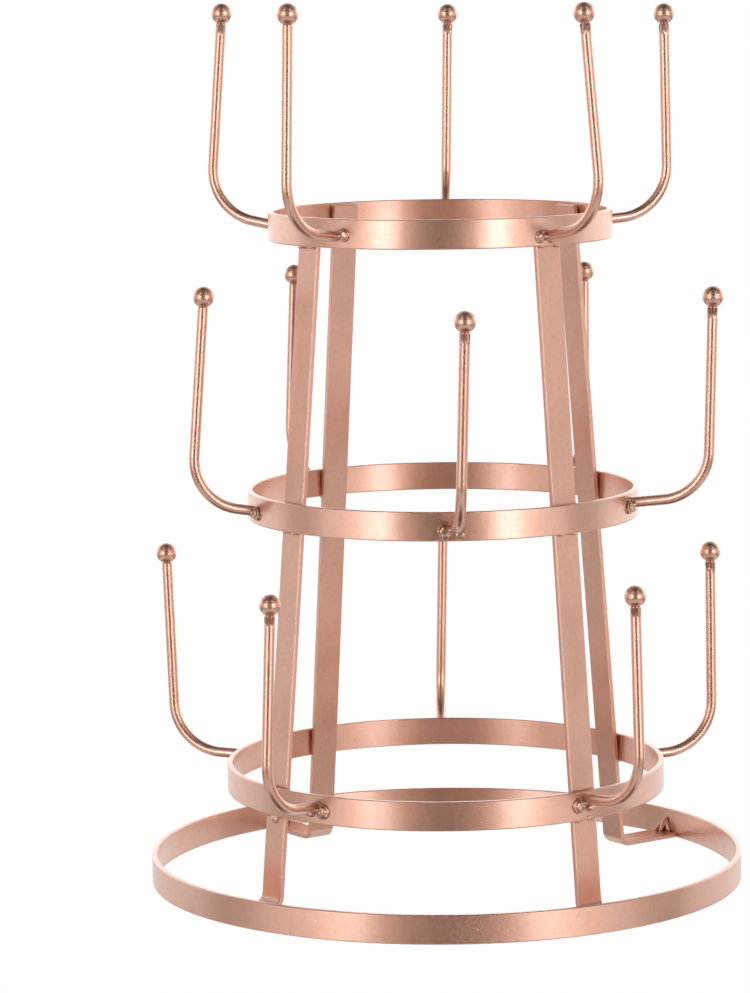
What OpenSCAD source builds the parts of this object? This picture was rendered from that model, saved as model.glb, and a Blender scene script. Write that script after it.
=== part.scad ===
// Three-tier mug tree: four rings of flat strip on four legs of flat bar,
// with fifteen rod hooks, each tipped with a ball. All joints are welded.
// Origin: centre of the base ring, on the surface that the tree stands on.
// +Z is up. The front is -Y. Directions are degrees counter-clockwise from +X.

/* [Rings] */
// Outside diameter of the base ring
base_ring_d = 230; // [220:1:250]
// Outside diameter of the lower tier's ring
lower_ring_d = 170; // [150:1:180]
// Outside diameter of the top tier's ring
top_ring_d = 132; // [120:1:146]
// Height of the flat strip that every ring is rolled from
strip_h = 11; // [9:0.5:13]
// Thickness of that strip
strip_t = 2; // [1.5:0.1:2.5]
// Height of the lower ring's bottom edge
lower_ring_z = 35.5; // [30:0.5:45]
// Height from one tier's ring to the next
tier_pitch = 107; // [100:1:120]

/* [Legs] */
// Width of the flat bar
leg_w = 11.5; // [9:0.5:12]
// Thickness of the flat bar
leg_t = 2; // [1.5:0.1:2.5]
// Inside radius of the bend where a leg turns out into its foot
foot_bend_r = 3; // [2:0.5:5]
// Direction of the first leg, and the others follow at right angles
leg_turn = 38; // [30:1:45]
// Distance from a leg's top end up to the top ring's upper edge
leg_drop = 1; // [0.5:0.5:3]

/* [Hooks] */
// Diameter of the hook rod
rod_d = 4; // [3:0.1:5]
// Radius of a hook's bend, on the rod's centre line
hook_bend_r = 20; // [16:1:22]
// Diameter of the ball on a hook's tip
ball_d = 8; // [7:0.1:10]
// Width of the chamfer around the rod's tip, under the ball
tip_chamfer = 0.7; // [0.4:0.1:1]

/* [Welds] */
// Radius of the large weld bead beside a hook's root
bead_r = 3.2; // [2.5:0.1:3.5]
// How far that bead stands proud of the ring
bead_proud = 1.5; // [1:0.1:2]

/* [Hidden] */
$fn = 64;

// Ring table: outside radius and bottom edge of each ring
base_r = base_ring_d / 2;
lower_r = lower_ring_d / 2;
top_r = top_ring_d / 2;
middle_r = (lower_r + top_r) / 2;
middle_ring_z = lower_ring_z + tier_pitch;
top_ring_z = lower_ring_z + 2 * tier_pitch;

// The legs stand inside the rings. The flat bar's two edges touch the ring's
// round inner face, so its outer face lies a little nearer the axis.
function seat_r(ring_r) = sqrt(pow(ring_r - strip_t, 2) - pow(leg_w / 2, 2));
leg_lean = atan2(seat_r(lower_r) - seat_r(top_r), 2 * tier_pitch);
leg_top_z = top_ring_z + strip_h - leg_drop;
bend_z = leg_t + foot_bend_r;
bend_x = seat_r(lower_r) + (lower_ring_z - bend_z) * tan(leg_lean)
    + foot_bend_r / cos(leg_lean);
arc_steps = 12;
leg_names = ["back_right", "back_left", "front_left", "front_right"];
// The legs were set by eye: how far each is off its right angle, in degrees
leg_offsets = [-1.1, -0.7, 0.9, 0.9];
function leg_direction(index) = leg_turn + 90 * index + leg_offsets[index];

// The hooks were bent and welded by hand, so no two are quite alike.
// Each row: place, direction, how far the rod reaches out from its ring, height
// of the ball's centre above the lowest level of the bend's full circle, degrees
// that the tip leans in, degrees that it leans sideways, height of that lowest
// level above the strip's middle, and degrees that the rod climbs from its root.
top_hooks = [
    ["back",        88.5, 27,   78.5,  0,   1,   0,   6],
    ["left",        162,  27,   80.5,  4.5, 0,   0,   11],
    ["front_left",  234,  29,   81.1,  2,   0,   0.2, 7],
    ["front_right", 307.5, 29,  80.1,  7.5, 0,   0.4, 11],
    ["right",       18,   27,   78.5,  1,   0,   0,   5]
];
middle_hooks = [
    ["front",      273.5, 29,   77.5, -3,  -1.5, 1,   8],
    ["right",      342,   30.5, 77.7, -1.5, 0,   2.8, 7],
    ["back_right",  55.5, 27,   81.5,  0,   0,   0,   6],
    ["back_left",  127,   27,   82,    4,   0,   0,   6],
    ["left",       198,   23.5, 81.6,  4.5, 0,   0.4, 10]
];
lower_hooks = [
    ["back",         91,  27,   80,    1,   1.3, 0,   3],
    ["left",        162,  28.5, 79.2, -2,   0,   2.8, 2],
    ["front_left",  234.7, 29,  79.2,  2,  -1,   1.8, 6],
    ["front_right", 308.3, 30,  79,    2,   0,   3.5, 6],
    ["right",        18,  26.5, 79.6,  0.5, 0,   1.2, 3]
];
// Tier table: name, ring radius, ring bottom, hooks
tiers = [
    ["top", top_r, top_ring_z, top_hooks],
    ["middle", middle_r, middle_ring_z, middle_hooks],
    ["lower", lower_r, lower_ring_z, lower_hooks]
];
function node_name(tier, kind, place) = str(tier[0], "_", kind, "_", place);
function hook_names(kind) = [for (t = tiers) for (h = t[3]) node_name(t, kind, h[0])];

// Colours of the painted steel, a shade darker on the round parts
strip_colour = "#d9a48f";
rod_colour = "#c98f79";
ball_colour = "#b9806b";
weld_colour = "#a8705c";

// --- rings ---

module ring(ring_r, z) {
    color(strip_colour)
    translate([0, 0, z])
    difference() {
        cylinder(h = strip_h, r = ring_r);
        translate([0, 0, -strip_h]) cylinder(h = 3 * strip_h, r = ring_r - strip_t);
    }
}

// --- legs ---

// Points along an arc about [bend_x, bend_z], from one direction to another
function bend_arc(r, from, to) = [
    for (i = [0:arc_steps])
        let (a = from + (to - from) * i / arc_steps)
        [bend_x + r * cos(a), bend_z + r * sin(a)]
];

// Side view of a leg: x is distance from the axis, y is height.
// A leaning upright, a bend through a little under a right angle, and a foot.
module leg_profile() {
    outer_r = foot_bend_r + leg_t;
    climb = leg_top_z - bend_z;
    foot_end_x = sqrt(pow(base_r - strip_t, 2) - pow(leg_w / 2, 2));
    // distance out, at the height of the top, of the face that looks outward
    // and of the one that looks inward
    outward_x = bend_x - foot_bend_r / cos(leg_lean) - climb * tan(leg_lean);
    inward_x = bend_x - outer_r / cos(leg_lean) - climb * tan(leg_lean);
    polygon(concat(
        [[outward_x, leg_top_z], [inward_x, leg_top_z]],
        bend_arc(outer_r, 180 + leg_lean, 270),
        [[foot_end_x, 0], [foot_end_x, leg_t]],
        bend_arc(foot_bend_r, 270, 180 + leg_lean)
    ));
}

module leg(index) {
    color(strip_colour)
    rotate([0, 0, leg_direction(index)])
    rotate([90, 0, 0])
    translate([0, 0, -leg_w / 2])
    linear_extrude(leg_w) leg_profile();
}

// --- hooks ---

// Places children at a hook's lowest level: x outward, z up, turned by its sideways lean
module at_root(tier, hook) {
    translate([0, 0, tier[2] + strip_h / 2 + hook[6]])
    rotate([0, 0, hook[1]])
    rotate([hook[5], 0, 0])
    children();
}

function bend_centre_x(tier, hook) = tier[1] + hook[2] - hook_bend_r;
// Where the straight that climbs from the root runs into the bend
function bend_start_x(tier, hook) = bend_centre_x(tier, hook) + hook_bend_r * sin(hook[7]);
function bend_start_z(hook) = hook_bend_r * (1 - cos(hook[7]));
function climb_length(tier, hook) = (bend_start_x(tier, hook) - tier[1]) / cos(hook[7]);
// Length of the straight upright, from the end of the bend to the ball's centre
function upright_length(hook) =
    (hook[3] - hook_bend_r * (1 + sin(hook[4]))) / cos(hook[4]);

// Places children at the upright's lower end, with z along the upright
module at_upright(tier, hook) {
    at_root(tier, hook)
    translate([bend_centre_x(tier, hook), 0, hook_bend_r])
    rotate([0, -hook[4], 0])
    translate([hook_bend_r, 0, 0])
    children();
}

// Distance from the ball's centre down to the flat that meets the rod's tip
tip_flat_r = rod_d / 2 - tip_chamfer;
tip_gap = sqrt(pow(ball_d / 2, 2) - pow(tip_flat_r, 2));
// Each straight starts this far inside the bend and is a hair thinner than it,
// so that the three stretches join into one solid
bend_overlap = 0.4;
straight_d = rod_d - 0.02;

// The straight from the ring to the bend, cut upright where it meets the ring
module climb(tier, hook) {
    difference() {
        translate([bend_start_x(tier, hook), 0, bend_start_z(hook)])
            rotate([0, -90 - hook[7], 0])
            translate([0, 0, -bend_overlap])
            cylinder(h = climb_length(tier, hook) + bend_overlap + rod_d / 2, d = straight_d);
        translate([tier[1] - 2 * rod_d, -rod_d, -3 * rod_d])
            cube([2 * rod_d, 2 * rod_d, 4 * rod_d]);
    }
}

module hook_rod(tier, hook) {
    shank_l = upright_length(hook) - tip_gap - tip_chamfer;
    color(rod_colour) {
        at_root(tier, hook) {
            climb(tier, hook);
            translate([bend_centre_x(tier, hook), 0, hook_bend_r])
                rotate([90, 0, 0]) rotate([0, 0, hook[7] - 90])
                rotate_extrude(angle = 90 + hook[4] - hook[7])
                translate([hook_bend_r, 0]) circle(d = rod_d);
        }
        at_upright(tier, hook) {
            translate([0, 0, -bend_overlap])
                cylinder(h = shank_l + bend_overlap, d = straight_d);
            translate([0, 0, shank_l])
                cylinder(h = tip_chamfer, d1 = straight_d, r2 = tip_flat_r);
        }
    }
}

module hook_ball(tier, hook) {
    color(ball_colour)
    at_upright(tier, hook)
    translate([0, 0, upright_length(hook)])
    difference() {
        sphere(d = ball_d);
        translate([0, 0, -tip_gap - ball_d]) cylinder(h = ball_d, d = ball_d);
    }
}

// --- welds ---

// A low round dome of weld metal: base_r across its flat base, height along +z
module weld_dome(base_r, height) {
    sphere_r = (pow(base_r, 2) + pow(height, 2)) / (2 * height);
    intersection() {
        translate([0, 0, height - sphere_r]) sphere(r = sphere_r);
        cylinder(h = height, r = base_r);
    }
}

// Two domes hug each hook's root: a large one on the side nearer the front, and
// a small one on the other side. Both sit on the ring, a little below the rod.
module hook_weld(tier, hook) {
    side = hook[1] > 90 && hook[1] < 272 ? 1 : -1;
    for (bead = [[side, 1], [-side, 0.7]]) {
        r = bead_r * bead[1];
        turn = bead[0] * asin((rod_d / 2 + r) / tier[1]);
        translate([0, 0, tier[2] + strip_h / 2 + hook[6] - r / 2])
            rotate([0, 0, hook[1] + turn])
            translate([tier[1], 0, 0])
            rotate([0, 90, 0])
            weld_dome(r, bead_proud * bead[1]);
    }
}

module hook_welds(tier) {
    color(weld_colour) for (h = tier[3]) hook_weld(tier, h);
}

// Two small drops under each ring, beside the outer face of each leg
module leg_welds(tier) {
    drop_r = strip_t / 2;
    turn = asin(0.35 * leg_w / tier[1]);
    color(weld_colour)
    for (i = [0:3]) for (side = [-1, 1])
        rotate([0, 0, leg_direction(i) + side * turn])
        translate([tier[1] - strip_t / 2, 0, tier[2]])
        rotate([180, 0, 0])
        weld_dome(drop_r, drop_r);
}

// Three lumps side by side on top of each foot, against the base ring
module foot_welds() {
    lump_r = leg_w / 6;
    color(weld_colour)
    for (i = [0:3]) for (side = [-1, 0, 1])
        rotate([0, 0, leg_direction(i)])
        translate([base_r - strip_t - 1.2 * lump_r, 2 * side * lump_r, leg_t])
        weld_dome(lump_r, lump_r);
}

// --- the assembly ---

ring(base_r, 0);  // base_ring
ring(lower_r, lower_ring_z);  // lower_ring
ring(middle_r, middle_ring_z);  // middle_ring
ring(top_r, top_ring_z);  // top_ring

for (i = [0:3])
    leg(i);

for (t = tiers) for (h = t[3]) {
    hook_rod(t, h);
    hook_ball(t, h);
}

for (t = tiers) {
    hook_welds(t);
    leg_welds(t);
}
foot_welds();
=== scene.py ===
import math
import random

import bmesh
import bpy
from mathutils import Matrix, Vector, noise


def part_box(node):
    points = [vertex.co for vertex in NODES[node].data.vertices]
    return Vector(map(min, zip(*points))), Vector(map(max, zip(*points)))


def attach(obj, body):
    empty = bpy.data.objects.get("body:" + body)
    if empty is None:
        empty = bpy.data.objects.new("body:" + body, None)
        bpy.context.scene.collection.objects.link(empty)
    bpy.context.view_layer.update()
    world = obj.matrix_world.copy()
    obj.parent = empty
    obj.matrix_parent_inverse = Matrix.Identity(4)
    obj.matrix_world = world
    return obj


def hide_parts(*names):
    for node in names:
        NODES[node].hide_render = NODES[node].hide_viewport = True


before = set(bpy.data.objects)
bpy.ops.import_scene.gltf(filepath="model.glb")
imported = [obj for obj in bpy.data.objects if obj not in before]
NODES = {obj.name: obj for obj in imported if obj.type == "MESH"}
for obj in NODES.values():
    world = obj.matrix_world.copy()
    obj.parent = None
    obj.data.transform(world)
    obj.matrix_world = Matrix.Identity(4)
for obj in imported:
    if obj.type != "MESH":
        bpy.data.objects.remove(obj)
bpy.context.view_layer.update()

MM = 0.001
TIERS = ("top", "middle", "lower")
UP = Vector((0, 0, 1))

# a point within this of a rod's root, or of a leg's outer end, belongs to that end
ROOT_BAND = 0.15 * MM
FOOT_BAND = 0.3 * MM

# ---------------------------------------------------------------- measures from the frame


def verts_of(part):
    """The points of a CAD node's mesh, in metres."""
    return [v.co.copy() for v in NODES[part].data.vertices]


def reach(p):
    """Distance from the mug tree's upright axis."""
    return math.hypot(p.x, p.y)


def heading(p):
    """Direction of a point round the upright axis, from +X toward +Y."""
    return math.atan2(p.y, p.x)


def ring_size(ring):
    """Outer radius, inner radius, bottom and top of a ring node."""
    lo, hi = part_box(ring)
    inner = min(reach(p) for p in verts_of(ring))
    return hi[0], inner, lo[2], hi[2]


RING = {n: ring_size(n + "_ring") for n in ("base",) + TIERS}
STRIP_T = RING["base"][0] - RING["base"][1]
LEG_NODES = sorted(n for n in NODES if n.startswith("leg_") and "weld" not in n)


def out_and_side(angle):
    """Unit vectors away from the axis at an angle round it, and level across that."""
    out = Vector((math.cos(angle), math.sin(angle), 0))
    return out, Vector((-out.y, out.x, 0))


def hook_nodes(tier):
    return sorted(n for n in NODES if n.startswith(tier + "_hook_"))


def hook_root(hook):
    """Middle of the end where a hook's rod meets its ring."""
    points = verts_of(hook)
    nearest = min(reach(p) for p in points)
    end = [p for p in points if reach(p) < nearest + ROOT_BAND]
    return sum(end, Vector()) / len(end)


# ---------------------------------------------------------------- mesh helpers


def new_object(name, verts, faces, smooth=True):
    """Makes a mesh object and puts it in the scene."""
    mesh = bpy.data.meshes.new(name)
    mesh.from_pydata([tuple(v) for v in verts], [], faces)
    mesh.validate()
    mesh.polygons.foreach_set("use_smooth", [smooth] * len(mesh.polygons))
    mesh.update()
    obj = bpy.data.objects.new(name, mesh)
    bpy.context.scene.collection.objects.link(obj)
    return obj


def round_edges(obj, width, segments=3, angle=35.0):
    """Rounds the edges that are sharper than an angle in degrees."""
    bevel = obj.modifiers.new("round_edges", "BEVEL")
    bevel.width = width
    bevel.segments = segments
    bevel.limit_method = "ANGLE"
    bevel.angle_limit = math.radians(angle)
    bevel.harden_normals = True
    bevel.use_clamp_overlap = True


def strip_ring(name, outer, inner, bottom, top, steps=288):
    """A ring rolled from flat strip, as a four-sided section turned round the axis."""
    section = [(inner, bottom), (outer, bottom), (outer, top), (inner, top)]
    verts, faces = [], []
    for i in range(steps):
        a = 2 * math.pi * i / steps
        verts += [(r * math.cos(a), r * math.sin(a), z) for r, z in section]
    for i in range(steps):
        j = (i + 1) % steps
        for k in range(4):
            m = (k + 1) % 4
            faces.append((4 * i + k, 4 * j + k, 4 * j + m, 4 * i + m))
    return new_object(name, verts, faces)


def sweep_bar(name, path, width, thickness, turn):
    """A flat bar along a path of (distance out, height), set at a direction round the axis."""
    verts, faces = [], []
    out, side = out_and_side(turn)
    for i, (x, z) in enumerate(path):
        x0, z0 = path[max(i - 1, 0)]
        x1, z1 = path[min(i + 1, len(path) - 1)]
        along = Vector((x1 - x0, z1 - z0)).normalized()
        nx, nz = -along.y, along.x
        for s, t in ((-1, -1), (1, -1), (1, 1), (-1, 1)):
            p = out * (x + nx * t * thickness / 2) + UP * (z + nz * t * thickness / 2)
            verts.append(p + side * s * width / 2)
    for i in range(len(path) - 1):
        for k in range(4):
            m = (k + 1) % 4
            faces.append((4 * i + k, 4 * i + m, 4 * i + 4 + m, 4 * i + 4 + k))
    last = 4 * (len(path) - 1)
    faces.append((3, 2, 1, 0))
    faces.append((last, last + 1, last + 2, last + 3))
    return new_object(name, verts, faces)


# ---------------------------------------------------------------- node helpers


def new_material(name):
    mat = bpy.data.materials.new(name)
    mat.use_nodes = True
    tree = mat.node_tree
    tree.nodes.clear()
    return mat, tree


def node(tree, kind, inputs=None, **props):
    """Adds a shader node; an input is a number, a colour or another node's output."""
    n = tree.nodes.new(kind)
    for key, value in props.items():
        setattr(n, key, value)
    for key, value in (inputs or {}).items():
        if isinstance(value, bpy.types.NodeSocket):
            tree.links.new(value, n.inputs[key])
        else:
            n.inputs[key].default_value = value
    return n


def math_node(tree, operation, a, b=0.0, clamp=False):
    return node(tree, "ShaderNodeMath", {0: a, 1: b}, operation=operation, use_clamp=clamp).outputs[0]


def map_range(tree, value, a0, a1, b0, b1, smooth=False):
    """Carries a0..a1 onto b0..b1."""
    return node(
        tree,
        "ShaderNodeMapRange",
        {0: value, 1: a0, 2: a1, 3: b0, 4: b1},
        interpolation_type="SMOOTHSTEP" if smooth else "LINEAR",
    ).outputs[0]


def mix_colour(tree, factor, a, b):
    n = node(tree, "ShaderNodeMix", data_type="RGBA", blend_type="MIX")
    for key, value in ((0, factor), (6, a), (7, b)):
        if isinstance(value, bpy.types.NodeSocket):
            tree.links.new(value, n.inputs[key])
        else:
            n.inputs[key].default_value = value
    return n.outputs[2]


# ---------------------------------------------------------------- paint

# noise scales in cells per metre, so the finest grain is about 0.8 mm
FINE_SCALE = 1200.0
MIDDLE_SCALE = 600.0
BROAD_SCALE = 45.0
SPECK_SCALE = 150.0
SPECK_SHARE = 0.45
SPECK_COLOUR = (0.95, 0.86, 0.80, 1.0)
DARKER = (0.80, 0.74, 0.70)
LIGHTER = (1.08, 1.12, 1.16)
BUMP_HEIGHT = 0.02 * MM


def tinted(colour, by):
    return tuple(min(1.0, c * k) for c, k in zip(colour, by)) + (1.0,)


def paint(name, colour, roughness, coat_roughness, grain=1.0, specks=1.0, mottle=1.0):
    """Satin metallic paint under clear lacquer: fine grain, cloudy patches, a few specks.

    grain, specks and mottle set how deep the bumps are and how strong the specks and patches.
    """
    mat, t = new_material(name)
    where = node(t, "ShaderNodeTexCoord").outputs["Object"]

    def cloud(scale, detail):
        return node(t, "ShaderNodeTexNoise",
                    {"Vector": where, "Scale": scale, "Detail": detail, "Roughness": 0.5}).outputs["Fac"]

    fine = cloud(FINE_SCALE, 2.0)
    middle = cloud(MIDDLE_SCALE, 3.0)
    broad = cloud(BROAD_SCALE, 3.0)

    # a speck sits in the middle of some of the cells
    cell = node(t, "ShaderNodeTexVoronoi", {"Vector": where, "Scale": SPECK_SCALE, "Randomness": 1.0})
    speck = map_range(t, cell.outputs["Distance"], 0.035, 0.075, 1.0, 0.0, smooth=True)
    cell_value = node(t, "ShaderNodeSeparateColor", {0: cell.outputs["Color"]}).outputs[0]
    keep = math_node(t, "GREATER_THAN", cell_value, 1.0 - SPECK_SHARE)
    speck = math_node(t, "MULTIPLY", speck, keep)

    dark = tinted(colour, DARKER)
    shade = map_range(t, fine, 0.32, 0.68, 0.0, 0.8 * mottle)
    tone = mix_colour(t, shade, (*colour, 1.0), tinted(colour, LIGHTER))
    patch = map_range(t, middle, 0.5, 0.85, 0.0, 0.3 * mottle, smooth=True)
    tone = mix_colour(t, patch, tone, dark)
    patch = map_range(t, broad, 0.45, 0.75, 0.0, 0.35 * mottle, smooth=True)
    tone = mix_colour(t, patch, tone, dark)
    tone = mix_colour(t, math_node(t, "MULTIPLY", speck, 0.7 * specks), tone, SPECK_COLOUR)

    rough = map_range(t, middle, 0.3, 0.7, roughness - 0.04, roughness + 0.05)
    rough = math_node(t, "ADD", rough, map_range(t, fine, 0.3, 0.7, -0.03, 0.03))

    height = math_node(t, "MULTIPLY", fine, 0.5)
    height = math_node(t, "ADD", height, math_node(t, "MULTIPLY", middle, 0.8))
    height = math_node(t, "ADD", height, math_node(t, "MULTIPLY", speck, 1.6 * specks))
    depth = BUMP_HEIGHT * grain
    bump = node(t, "ShaderNodeBump", {"Strength": 0.5, "Distance": depth, "Height": height})

    bsdf = node(t, "ShaderNodeBsdfPrincipled", {
        "Base Color": tone,
        "Metallic": 1.0,
        "Roughness": rough,
        "Coat Weight": 0.9,
        "Coat Roughness": coat_roughness,
        "Coat IOR": 2.1,
        "Normal": bump.outputs[0],
    })
    node(t, "ShaderNodeOutputMaterial", {"Surface": bsdf.outputs[0]})
    return mat


ROSE = (0.78, 0.40, 0.27)
# the welds' brown is darker than the strip's rose as painted shade, standing in for the dark that their
# curved domes catch
SHADE_DARKENED_BROWN = (0.65, 0.33, 0.21)
strip_paint = paint("strip_paint", ROSE, 0.43, 0.24, grain=3.6)
rod_paint = paint("rod_paint", ROSE, 0.42, 0.24, grain=0.3, specks=0.3, mottle=0.4)
ball_paint = paint("ball_paint", ROSE, 0.42, 0.26, grain=0.3, specks=0.3, mottle=0.4)
weld_paint = paint("weld_paint", SHADE_DARKENED_BROWN, 0.36, 0.20, grain=3.0)


def wear(obj, material):
    """Paints a piece."""
    obj.data.materials.clear()
    obj.data.materials.append(material)


# ---------------------------------------------------------------- rings

EDGE = 0.45 * MM
for ring_name, (outer, inner, bottom, top) in RING.items():
    strip = strip_ring(ring_name + "_strip", outer, inner, bottom, top)
    round_edges(strip, EDGE)
    wear(strip, strip_paint)
    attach(strip, "root")
    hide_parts(ring_name + "_ring")

# ---------------------------------------------------------------- legs


def leg_turn(leg):
    """Direction of a leg round the axis, from the middle of its node's outer end."""
    points = verts_of(leg)
    farthest = max(reach(p) for p in points)
    end = [p for p in points if reach(p) > farthest - FOOT_BAND]
    return heading(sum(end, Vector()))


def seat(ring, width):
    """Distance from the axis to a flat bar's outer face where its edges touch inside a ring."""
    return math.sqrt(RING[ring][1] ** 2 - (width / 2) ** 2)


LEG_W = 11.5 * MM
LEG_T = 2 * MM
BEND_R = 3 * MM
LEG_TURNS = [leg_turn(leg) for leg in LEG_NODES]
# the legs lean in so as to touch the lower and the top ring
tan_lean = (seat("lower", LEG_W) - seat("top", LEG_W)) / (RING["top"][2] - RING["lower"][2])
lean = math.atan(tan_lean)
leg_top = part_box(LEG_NODES[0])[1][2]
bend_z = LEG_T + BEND_R
bend_x = seat("lower", LEG_W) + (RING["lower"][2] - bend_z) * tan_lean + BEND_R / math.cos(lean)
mid_r = BEND_R + LEG_T / 2


def leg_path():
    """A leg's middle line from its top through its bend to the foot's end, as (out, height)."""
    top_x = bend_x - mid_r / math.cos(lean) - (leg_top - bend_z) * tan_lean
    path = [(top_x, leg_top)]
    arc_steps = 14
    start, stop = math.pi + lean, 1.5 * math.pi
    bend = []
    for i in range(arc_steps + 1):
        a = start + (stop - start) * i / arc_steps
        bend.append((bend_x + mid_r * math.cos(a), bend_z + mid_r * math.sin(a)))
    x1, z1 = bend[0]
    steps = 24
    for i in range(1, steps):
        path.append((top_x + (x1 - top_x) * i / steps, leg_top + (z1 - leg_top) * i / steps))
    path += bend
    path.append((seat("base", LEG_W), LEG_T / 2))
    return path


for leg_node, turn in zip(LEG_NODES, LEG_TURNS):
    bar = sweep_bar(leg_node + "_bar", leg_path(), LEG_W, LEG_T, turn)
    round_edges(bar, EDGE)
    wear(bar, strip_paint)
    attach(bar, "root")
    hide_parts(leg_node)

# ---------------------------------------------------------------- hooks and balls

ROD_R = 2 * MM
BEND = 20 * MM
FIT_ROUNDS = 60
# how far a rod runs on into its ring
ROOT_DEPTH = 0.6 * MM


def bend_middle(flat, radius):
    """Middle of a hook's bend, found from the node's points, each as (out, up, sideways)."""
    x = max(p[0] for p in flat if p[1] < radius) - radius - ROD_R
    z = radius
    on_bend = [p for p in flat if p[0] > x + 0.4 * radius and 0.2 * radius < p[1] < 0.9 * radius]
    for _ in range(FIT_ROUNDS):
        sum_x = sum_z = 0.0
        for px, pz, side in on_bend:
            dx, dz = px - x, pz - z
            away = math.hypot(dx, dz)
            swell = math.sqrt(max(0.0, ROD_R ** 2 - side ** 2))
            wanted = radius + (swell if away > radius else -swell)
            sum_x += px - dx / away * wanted
            sum_z += pz - dz / away * wanted
        x, z = sum_x / len(on_bend), sum_z / len(on_bend)
    return x, z


def hook_line(hook):
    """The rod's centre line from its ring to its ball, and the ball's centre and radius."""
    root = hook_root(hook)
    out = Vector((root.x, root.y, 0)).normalized()
    lo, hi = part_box(hook.replace("_hook_", "_ball_"))
    ball_r = (hi[0] - lo[0]) / 2
    ball = Vector(((lo[0] + hi[0]) / 2, (lo[1] + hi[1]) / 2, hi[2] - ball_r))
    to_ball = ball - root
    bx = to_ball.dot(out)
    rise = to_ball - out * bx
    bz = rise.length
    up = rise / bz
    across = out.cross(up)
    flat = [((p - root).dot(out), (p - root).dot(up), (p - root).dot(across)) for p in verts_of(hook)]
    cx, cz = bend_middle(flat, BEND)
    # the first straight climbs from the root and runs into the bend
    climb = math.atan2(cz, cx) - math.asin(BEND / math.hypot(cx, cz))
    first = Vector((cx + BEND * math.sin(climb), cz - BEND * math.cos(climb)))
    d, h = bx - cx, bz - cz
    lean_in = math.atan2(h, d) - math.acos(BEND / math.hypot(d, h))

    def point(x, z):
        return root + out * x + up * z

    line = [point(-ROOT_DEPTH, -ROOT_DEPTH * math.tan(climb)), root]
    steps = 6
    line += [point(first.x * i / steps, first.y * i / steps) for i in range(1, steps)]
    steps = 32
    start = climb - math.pi / 2
    for i in range(steps + 1):
        a = start + (lean_in - start) * i / steps
        line.append(point(cx + BEND * math.cos(a), cz + BEND * math.sin(a)))
    foot = line[-1]
    steps = 14
    line += [foot + (ball - foot) * i / steps for i in range(1, steps)]
    return line, ball, ball_r


def tube(name, line, radii, sides=32):
    """A round rod along a line, with its radius at each point."""
    verts, faces = [], []
    across = None
    for i, p in enumerate(line):
        along = (line[min(i + 1, len(line) - 1)] - line[max(i - 1, 0)]).normalized()
        if across is None:
            across = along.cross(UP)
        across = (across - along * across.dot(along)).normalized()
        other = along.cross(across)
        for k in range(sides):
            a = 2 * math.pi * k / sides
            verts.append(p + (across * math.cos(a) + other * math.sin(a)) * radii[i])
    for i in range(len(line) - 1):
        for k in range(sides):
            m = (k + 1) % sides
            faces.append((i * sides + k, i * sides + m, (i + 1) * sides + m, (i + 1) * sides + k))
    last = (len(line) - 1) * sides
    faces.append(tuple(range(sides - 1, -1, -1)))
    faces.append(tuple(range(last, last + sides)))
    return new_object(name, verts, faces)


def globe(name, centre, radius, axis, steps=40, rows=28):
    """A ball with its poles on the rod's axis."""
    turn = axis.to_track_quat("Z", "Y")
    verts, faces = [centre - axis * radius], []
    for j in range(1, rows):
        b = math.pi * j / rows - math.pi / 2
        for i in range(steps):
            a = 2 * math.pi * i / steps
            spot = Vector((math.cos(b) * math.cos(a), math.cos(b) * math.sin(a), math.sin(b)))
            verts.append(centre + turn @ (spot * radius))
    verts.append(centre + axis * radius)
    for i in range(steps):
        k = (i + 1) % steps
        faces.append((0, 1 + k, 1 + i))
        top = 1 + (rows - 2) * steps
        faces.append((top + i, top + k, len(verts) - 1))
        for j in range(rows - 2):
            a = 1 + j * steps
            faces.append((a + i, a + k, a + steps + k, a + steps + i))
    return new_object(name, verts, faces)


# the rod's tip ends in a rounded shoulder just inside the ball
SHOULDER = 0.6 * MM
NECK_R = ROD_R - 0.4 * MM
NECK_DEPTH = 0.3 * MM


def shoulder(tip, axis, steps=6):
    """Points and radii of the rod's rounded end and of the neck that enters the ball."""
    points, radii = [], []
    for i in range(steps + 1):
        t = 0.5 * math.pi * i / steps
        points.append(tip - axis * SHOULDER * (1 - math.sin(t)))
        radii.append(NECK_R + (ROD_R - NECK_R) * math.cos(t))
    return points + [tip + axis * NECK_DEPTH], radii + [NECK_R]


for tier in TIERS:
    for hook in hook_nodes(tier):
        line, ball, ball_r = hook_line(hook)
        axis = (ball - line[-1]).normalized()
        tip = ball - axis * math.sqrt(ball_r ** 2 - NECK_R ** 2)
        end, end_radii = shoulder(tip, axis)
        rod = tube(hook + "_rod", line + end, [ROD_R] * len(line) + end_radii)
        wear(rod, rod_paint)
        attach(rod, "root")
        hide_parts(hook)
        ball_node = hook.replace("_hook_", "_ball_")
        knob = globe(ball_node + "_knob", ball, ball_r, axis)
        wear(knob, ball_paint)
        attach(knob, "root")
        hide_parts(ball_node)

# ---------------------------------------------------------------- welds


def lump(bm, centre, axes, radii, subdivisions=3):
    """An egg of weld metal: axes are three unit vectors, radii are its half sizes along them."""
    made = bmesh.ops.create_icosphere(bm, subdivisions=subdivisions, radius=1.0)
    turn = Matrix((axes[0] * radii[0], axes[1] * radii[1], axes[2] * radii[2])).transposed().to_4x4()
    turn.translation = centre
    bmesh.ops.transform(bm, matrix=turn, verts=made["verts"])


# noise scales of the roughened skin, in cells per metre
COARSE_WOBBLE = 900.0
FINE_WOBBLE = 2100.0


def noise_offset(seed):
    """Moves each weld to its own part of the noise."""
    return Vector((7.3, 3.1, 5.7)) * seed


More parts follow.
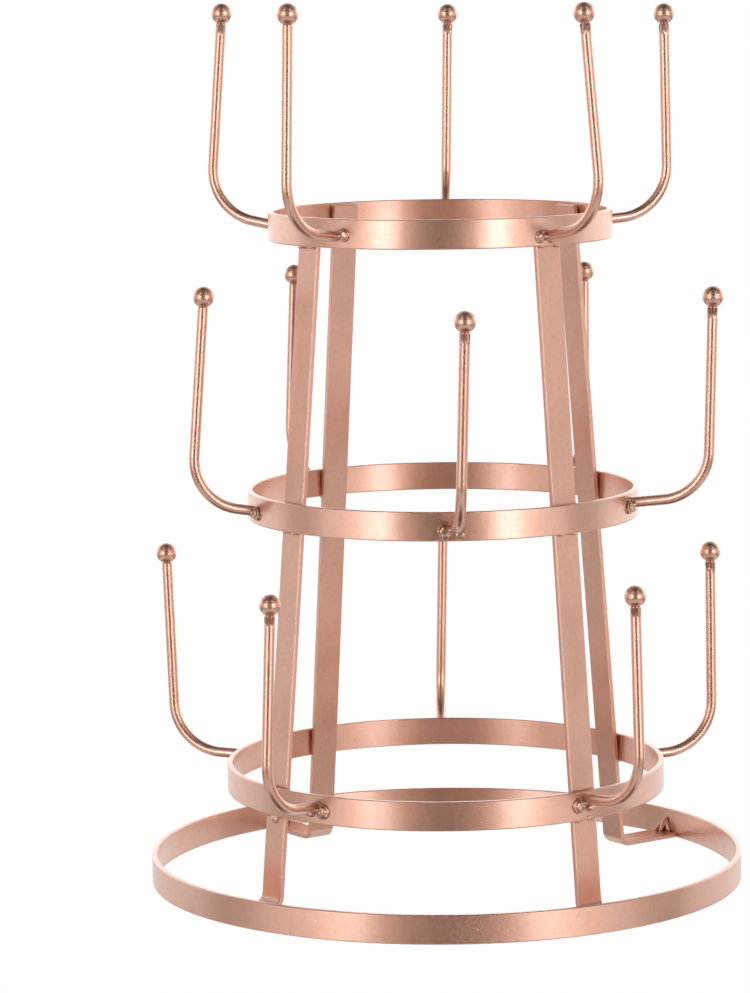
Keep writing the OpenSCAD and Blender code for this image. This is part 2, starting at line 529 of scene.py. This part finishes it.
def fuse(bm, name, voxel, wobble, seed):
    """Melts the lumps into one skin and roughens it a little."""
    mesh = bpy.data.meshes.new(name + "_raw")
    bm.to_mesh(mesh)
    bm.free()
    raw = bpy.data.objects.new(name + "_raw", mesh)
    bpy.context.scene.collection.objects.link(raw)
    melt = raw.modifiers.new("melt", "REMESH")
    melt.mode = "VOXEL"
    melt.voxel_size = voxel
    melt.use_smooth_shade = True
    relax = raw.modifiers.new("relax", "SMOOTH")
    relax.factor = 0.6
    relax.iterations = 3
    dg = bpy.context.evaluated_depsgraph_get()
    done = bpy.data.meshes.new_from_object(raw.evaluated_get(dg))
    bpy.data.objects.remove(raw)
    offset = noise_offset(seed)
    places = [v.co.copy() for v in done.vertices]
    normals = [n.vector.copy() for n in done.vertex_normals]
    flat = []
    for p, normal in zip(places, normals):
        n = noise.noise(p * COARSE_WOBBLE + offset) + 0.5 * noise.noise(p * FINE_WOBBLE + offset)
        flat.extend(p + normal * n * wobble)
    done.vertices.foreach_set("co", flat)
    done.name = name
    done.polygons.foreach_set("use_smooth", [True] * len(done.polygons))
    done.update()
    obj = bpy.data.objects.new(name, done)
    bpy.context.scene.collection.objects.link(obj)
    return obj


rng = random.Random(11)
FRONT = -math.pi / 2
# how large the domes are, and how far above the rod's axis their middles sit, in millimetres
DOME_SIZE = {"top": 0.80, "middle": 0.92, "lower": 1.0}
DOME_LEVEL = {"top": 0.2, "middle": -0.8, "lower": -1.6}
# the groove's place and width as parts of the dome's radius
GROOVE_AT = 0.76
GROOVE_WIDTH = 0.08
# how far a dome's rim is sunk into the ring, in millimetres
RIM_DEPTH = 0.25


def weld_dome(verts, faces, at, half_w, half_h, height, groove, seed, rows=30, steps=56):
    """A dome of weld metal with a groove inside its rim; the groove fades out below.

    at(x, y, out) gives the point over a spot of the ring's face, all in millimetres.
    """
    first = len(verts)
    offset = noise_offset(seed)
    verts.append(at(0.0, 0.0, height * 0.97))
    for j in range(1, rows + 1):
        r = math.sin(0.5 * math.pi * j / rows)
        for i in range(steps):
            a = 2 * math.pi * i / steps
            rise = math.sqrt(max(0.0, 1.0 - r ** 2.6)) * height
            fade = (0.5 + 0.5 * math.sin(a + 0.4)) ** 0.7
            rise -= groove * math.exp(-((r - GROOVE_AT) / GROOVE_WIDTH) ** 2) * fade
            x, y = half_w * r * math.cos(a), half_h * r * math.sin(a)
            spot = Vector((x, y, 0))
            rough = noise.noise(spot * 0.9 + offset) * 0.14 + noise.noise(spot * 2.2 + offset) * 0.05
            sink = RIM_DEPTH if j == rows else 0.0
            verts.append(at(x, y, rise + rough * (1.0 - r ** 6) - sink))
    for i in range(steps):
        k = (i + 1) % steps
        faces.append((first, first + 1 + i, first + 1 + k))
        for j in range(rows - 1):
            a = first + 1 + j * steps
            faces.append((a + i, a + steps + i, a + steps + k, a + k))


for index, tier in enumerate(TIERS):
    verts, faces = [], []
    ring_r = RING[tier][0]
    for number, hook in enumerate(hook_nodes(tier)):
        root = hook_root(hook)
        a = heading(root)
        # the large dome is on the side nearer the front
        toward = math.atan2(math.sin(FRONT - a), math.cos(FRONT - a))
        s = 1.0 if toward >= math.radians(-2) else -1.0

        def beside(side_mm, up_mm):
            """Gives points over a spot beside the root, following the ring's round face."""
            def at(x, y, out_mm):
                b = a + s * (side_mm + x) * MM / ring_r
                r = ring_r + out_mm * MM
                return Vector((r * math.cos(b), r * math.sin(b), root.z + (up_mm + y) * MM))
            return at

        grow = DOME_SIZE[tier] + rng.uniform(-0.06, 0.06)
        seed = 10 * index + number
        small_x = -1.5 + rng.uniform(-0.3, 0.3)
        level = DOME_LEVEL[tier] + 0.4 * s
        large, small, neck = beside(3.9, level), beside(small_x, level - 1.2), beside(1.6, 0.4 * level)
        weld_dome(verts, faces, large, 3.0 * grow, 3.1 * grow, 2.0 * grow, 0.8, seed)
        weld_dome(verts, faces, small, 2.2, 1.5, 1.5, 0.0, seed + 0.3, 16, 32)
        weld_dome(verts, faces, neck, 1.7, 1.3, 2.6, 0.0, seed + 0.6, 16, 32)
    beads = new_object(tier + "_hook_beads", verts, faces)
    # the beads wear the weld brown, whose extra darkness is painted shade
    wear(beads, weld_paint)
    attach(beads, "root")
    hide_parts("hook_welds_" + tier)

for index, tier in enumerate(TIERS):
    bm = bmesh.new()
    outer, _, bottom, _ = RING[tier]
    for a in LEG_TURNS:
        for side_mm in (-3.6, 3.4):
            out, side = out_and_side(a + (side_mm + rng.uniform(-0.8, 0.8)) * MM / outer)
            r = rng.uniform(0.75, 1.1) * MM
            middle = out * (outer - 0.55 * STRIP_T) + UP * (bottom - 0.05 * r)
            lump(bm, middle, (out, side, UP), (r, 1.2 * r, r))
    if tier == "lower":
        # a button of weld on the front left leg's outer face, a drop on the ring by the front right leg
        for leg, r, away, z in (
            ("leg_front_left", 2.0 * MM, seat(tier, LEG_W) + 0.2 * MM, bottom - 1.4 * MM),
            ("leg_front_right", 1.1 * MM, outer - 0.1 * MM, bottom + 0.7 * MM),
        ):
            out, side = out_and_side(LEG_TURNS[LEG_NODES.index(leg)])
            lump(bm, out * away + UP * z, (out, side, UP), (0.6 * r, r, r))
    drops = fuse(bm, tier + "_leg_beads", 0.12 * MM, 0.03 * MM, index + 5)
    wear(drops, strip_paint)
    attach(drops, "root")
    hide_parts("leg_welds_" + tier)

bm = bmesh.new()
inner = RING["base"][1]
FOOT_RIDGES = 15
for a in LEG_TURNS:
    out, side = out_and_side(a)
    apex = out * (inner - 0.4 * MM) + UP * (LEG_T + 5.4 * MM)
    for _ in range(FOOT_RIDGES):
        # ridges of weld running down from the apex to the foot
        low = out * (inner - rng.uniform(0.6, 4.4) * MM) + UP * LEG_T
        low += side * rng.uniform(-4.0, 4.0) * MM
        high = low.lerp(apex, rng.uniform(0.6, 1.0))
        ridge = high - low
        thick = rng.uniform(0.5, 0.85) * MM
        along = ridge.normalized()
        across = along.cross(side).normalized()
        axes = (across, along.cross(across), along)
        lump(bm, (low + high) / 2, axes, (thick, thick, 0.5 * ridge.length + 0.4 * MM))
foot = fuse(bm, "foot_beads", 0.18 * MM, 0.14 * MM, 9)
wear(foot, strip_paint)
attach(foot, "root")
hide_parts("foot_welds")

# ---------------------------------------------------------------- camera

camera = bpy.data.objects.new("camera", bpy.data.cameras.new("camera"))
bpy.context.scene.collection.objects.link(camera)
bpy.context.scene.camera = camera
camera.data.sensor_fit = "HORIZONTAL"
camera.data.sensor_width = 36.0
camera.data.lens = 193.9
camera.data.clip_end = 100.0
# pitch is downward, yaw to the right and roll anticlockwise, in degrees
CAMERA_AT = Vector((0, -1550, 355)) * MM
pitch, yaw, roll = (math.radians(v) for v in (7.55, -0.97, -0.70))
forward = Vector((math.sin(yaw) * math.cos(pitch), math.cos(yaw) * math.cos(pitch), -math.sin(pitch)))
right = Vector((math.cos(yaw), -math.sin(yaw), 0))
above = right.cross(forward)
cam_x = right * math.cos(roll) + above * math.sin(roll)
cam_y = above * math.cos(roll) - right * math.sin(roll)
turn = Matrix((cam_x, cam_y, -forward)).transposed().to_4x4()
turn.translation = CAMERA_AT
camera.matrix_world = turn

# ---------------------------------------------------------------- studio

scene = bpy.context.scene
scene.view_settings.view_transform = "Standard"
scene.view_settings.look = "None"
scene.view_settings.exposure = 0.0
scene.view_settings.gamma = 1.0


def white(name, strength):
    """A material that only shines white."""
    mat, t = new_material(name)
    shine = node(t, "ShaderNodeEmission", {"Color": (1, 1, 1, 1), "Strength": strength})
    node(t, "ShaderNodeOutputMaterial", {"Surface": shine.outputs[0]})
    return mat


def seen_by_camera_only(obj):
    """A backdrop for the camera, which casts no light or shadow on the object."""
    for flag in ("visible_diffuse", "visible_glossy", "visible_transmission", "visible_shadow"):
        setattr(obj, flag, False)


def disc(name, radius, z, material):
    """A flat round floor."""
    steps = 96
    ring = [(radius * math.cos(2 * math.pi * i / steps), radius * math.sin(2 * math.pi * i / steps), z)
            for i in range(steps)]
    obj = new_object(name, ring, [tuple(range(steps))], smooth=False)
    obj.data.materials.append(material)
    return obj


FAR = 12.0
FLOOR_Z = -0.2 * MM
seen_by_camera_only(disc("floor_seen", FAR, FLOOR_Z, white("floor_white", 1.0)))

bm = bmesh.new()
bmesh.ops.create_icosphere(bm, subdivisions=5, radius=FAR)
backdrop_mesh = bpy.data.meshes.new("dome")
bm.to_mesh(backdrop_mesh)
bm.free()
backdrop = bpy.data.objects.new("dome", backdrop_mesh)
scene.collection.objects.link(backdrop)
backdrop_mesh.materials.append(white("dome_white", 1.0))
seen_by_camera_only(backdrop)

world = bpy.data.worlds.new("studio")
scene.world = world
world.use_nodes = True
w = world.node_tree
w.nodes.clear()
direction = node(w, "ShaderNodeTexCoord").outputs["Generated"]
xyz = node(w, "ShaderNodeSeparateXYZ", {0: direction})
# azimuth is 0 toward the front and grows to the right; elevation is from the horizon
azimuth = math_node(w, "ARCTAN2", xyz.outputs[0], math_node(w, "MULTIPLY", xyz.outputs[1], -1.0))
elevation = math_node(w, "ARCSINE", xyz.outputs[2])


def window(value, centre, half, soft):
    """1 within half of centre, falling smoothly to 0 over soft, all in degrees."""
    away = math_node(w, "ABSOLUTE", math_node(w, "SUBTRACT", value, math.radians(centre)))
    near, far = math.radians(half - soft / 2), math.radians(half + soft / 2)
    return map_range(w, away, near, far, 1.0, 0.0, smooth=True)


side_angle = math_node(w, "ABSOLUTE", azimuth)


def panel(az, el, half_w, half_h, soft, strength):
    """A soft rectangle of light seen in this direction, and its twin on the other side."""
    wide, high = window(side_angle, az, half_w, soft), window(elevation, el, half_h, soft)
    return math_node(w, "MULTIPLY", math_node(w, "MULTIPLY", wide, high), strength)


# azimuth, elevation, half width, half height and softness in degrees, then strength
PANELS = (
    (37, 4, 8, 16, 8, 4.4),
    (54, 4, 22, 20, 12, 1.0),
    (43, 48, 13, 12, 10, 1.4),
    (165, 2, 58, 18, 20, 1.15),
    (165, 30, 60, 26, 20, 0.7),
    (90, -45, 120, 15, 12, 0.8),
    (90, 5, 24, 24, 12, 0.35),
)
light = 0.03
for measures in PANELS:
    light = math_node(w, "ADD", light, panel(*measures))
# the light from the right is a little stronger
balance = map_range(w, xyz.outputs[0], -0.5, 0.5, 0.97, 1.05)
light = math_node(w, "MULTIPLY", light, balance)
shine = node(w, "ShaderNodeBackground", {"Color": (1, 1, 1, 1), "Strength": light})
node(w, "ShaderNodeOutputWorld", {"Surface": shine.outputs[0]})
